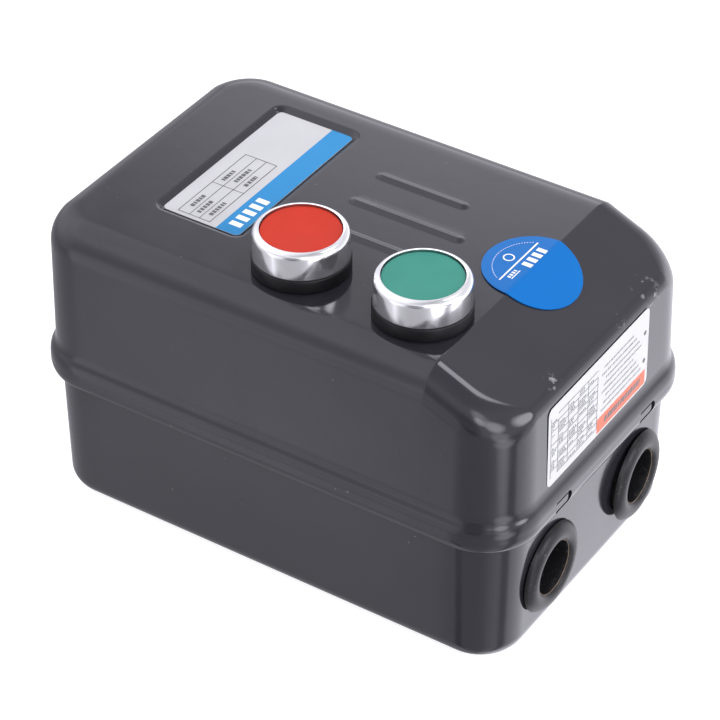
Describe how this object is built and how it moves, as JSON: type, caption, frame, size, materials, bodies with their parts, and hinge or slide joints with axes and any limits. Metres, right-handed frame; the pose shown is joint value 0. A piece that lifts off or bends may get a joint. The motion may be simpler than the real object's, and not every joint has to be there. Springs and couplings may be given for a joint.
{
  "type": "enclosed magnetic motor starter",
  "caption": "Drawn-steel box lying on its back, with a chamfered lift-off cover, flush red and green push buttons, and a contactor with thermal overload relay inside.",
  "frame": {"origin": "centre of the flat back face, midway between the cable entries and between the two end walls", "axes": "+Z out of the back through the front with the buttons; -Y towards the cable end with the chamfer; +X across, the buttons are on the -X side"},
  "size_m": [0.115, 0.1764, 0.116],
  "materials": {
    "dark_grey_paint": "glossy enamel, faint orange peel",
    "black_rubber": "matt moulded rubber",
    "zinc_steel": "zinc plated",
    "charcoal_plastic": "fine moulded texture",
    "core_steel": "laminated, ground pole faces",
    "coil_wrap": "varnished tape",
    "spring_steel": "bright wire",
    "cream_plastic": "moulded",
    "blue_plastic": "moulded",
    "red_plastic": "moulded, satin face",
    "green_plastic": "moulded, satin face",
    "chrome_plate": "bright plated",
    "black_plastic": "moulded",
    "copper": "bright copper",
    "label_film": "printed film",
    "blue_film": "printed film",
    "red_insulation": "flexible insulation",
    "blue_insulation": "flexible insulation"
  },
  "bodies": {
    "base": {"armature_spring": "spring_steel", "base_tray": "dark_grey_paint", "coil_lead": "blue_insulation", "coil_screw_1": "zinc_steel", "coil_screw_2": "zinc_steel", "contactor_base": "charcoal_plastic", "contactor_head": "charcoal_plastic", "earth_screw": "zinc_steel", "fixed_core": "core_steel", "grommet_line_left": "black_rubber", "grommet_line_right": "black_rubber", "grommet_load_left": "black_rubber", "grommet_load_right": "black_rubber", "line_screw_1": "zinc_steel", "line_screw_2": "zinc_steel", "line_screw_3": "zinc_steel", "line_screw_4": "zinc_steel", "load_screw_1": "zinc_steel", "load_screw_2": "zinc_steel", "load_screw_3": "zinc_steel", "load_screw_4": "zinc_steel", "magnet_coil": "coil_wrap", "mounting_rail": "zinc_steel", "overload_case": "charcoal_plastic", "overload_prong_1": "copper", "overload_prong_2": "copper", "overload_prong_3": "copper", "rail_screw_1": "zinc_steel", "rail_screw_2": "zinc_steel", "relay_screw_1": "zinc_steel", "relay_screw_2": "zinc_steel", "relay_screw_3": "zinc_steel", "start_lead": "blue_insulation", "stop_lead": "red_insulation"},
    "cover": {"cover_shell": "dark_grey_paint", "rating_plate": "label_film", "power_sticker": "blue_film", "end_label": "label_film", "cover_screw": "zinc_steel", "cover_nut": "zinc_steel", "bridge_lead": "red_insulation", "start_collar": "black_rubber", "start_bezel": "chrome_plate", "start_spring": "spring_steel", "start_lock_nut": "zinc_steel", "start_contact_block": "black_plastic", "stop_collar": "black_rubber", "stop_bezel": "chrome_plate", "stop_spring": "spring_steel", "stop_lock_nut": "zinc_steel", "stop_contact_block": "black_plastic"},
    "start_button": {"start_cap": "green_plastic"},
    "start_contact": {"start_plunger": "cream_plastic"},
    "stop_button": {"stop_cap": "red_plastic"},
    "stop_contact": {"stop_plunger": "cream_plastic"},
    "armature": {"contact_carrier": "cream_plastic", "moving_core": "core_steel"},
    "dial": {"current_dial": "cream_plastic"},
    "reset": {"reset_key": "blue_plastic"},
    "trip": {"trip_key": "red_plastic"}
  },
  "joints": [
    {"name": "cover_lift", "type": "slide", "parent": "base", "child": "cover", "axis": [0, 0, 1], "range_m": [0, 0.08], "deforming": ["start_lead", "stop_lead"]},
    {"name": "start_press", "type": "slide", "parent": "cover", "child": "start_button", "axis": [0, 0, -1], "range_m": [0, 0.0042], "stiffness_N_per_m": 450, "springref_m": -0.004, "deforming": ["start_spring"]},
    {"name": "start_contact_slide", "type": "slide", "parent": "cover", "child": "start_contact", "axis": [0, 0, -1], "range_m": [0, 0.0042], "stiffness_N_per_m": 120, "springref_m": -0.003},
    {"name": "stop_press", "type": "slide", "parent": "cover", "child": "stop_button", "axis": [0, 0, -1], "range_m": [0, 0.0042], "stiffness_N_per_m": 450, "springref_m": -0.004, "deforming": ["stop_spring"]},
    {"name": "stop_contact_slide", "type": "slide", "parent": "cover", "child": "stop_contact", "axis": [0, 0, -1], "range_m": [0, 0.0042], "stiffness_N_per_m": 120, "springref_m": -0.003},
    {"name": "armature_pull", "type": "slide", "parent": "base", "child": "armature", "axis": [0, 0, -1], "range_m": [0, 0.0055], "stiffness_N_per_m": 700, "springref_m": -0.008, "deforming": ["armature_spring"]},
    {"name": "dial_turn", "type": "hinge", "parent": "base", "child": "dial", "pos_m": [0.029, 0.033, 0.0671], "axis": [0, 0, 1], "range_deg": [-135, 135]},
    {"name": "reset_press", "type": "slide", "parent": "base", "child": "reset", "axis": [0, 0, -1], "range_m": [0, 0.0025], "stiffness_N_per_m": 300, "springref_m": -0.003},
    {"name": "trip_press", "type": "slide", "parent": "base", "child": "trip", "axis": [0, 0, -1], "range_m": [0, 0.0025], "stiffness_N_per_m": 300, "springref_m": -0.003}
  ],
  "couplings": [
    {"joint": "start_contact_slide", "follows": "start_press", "ratio": 1},
    {"joint": "stop_contact_slide", "follows": "stop_press", "ratio": 1}
  ]
}
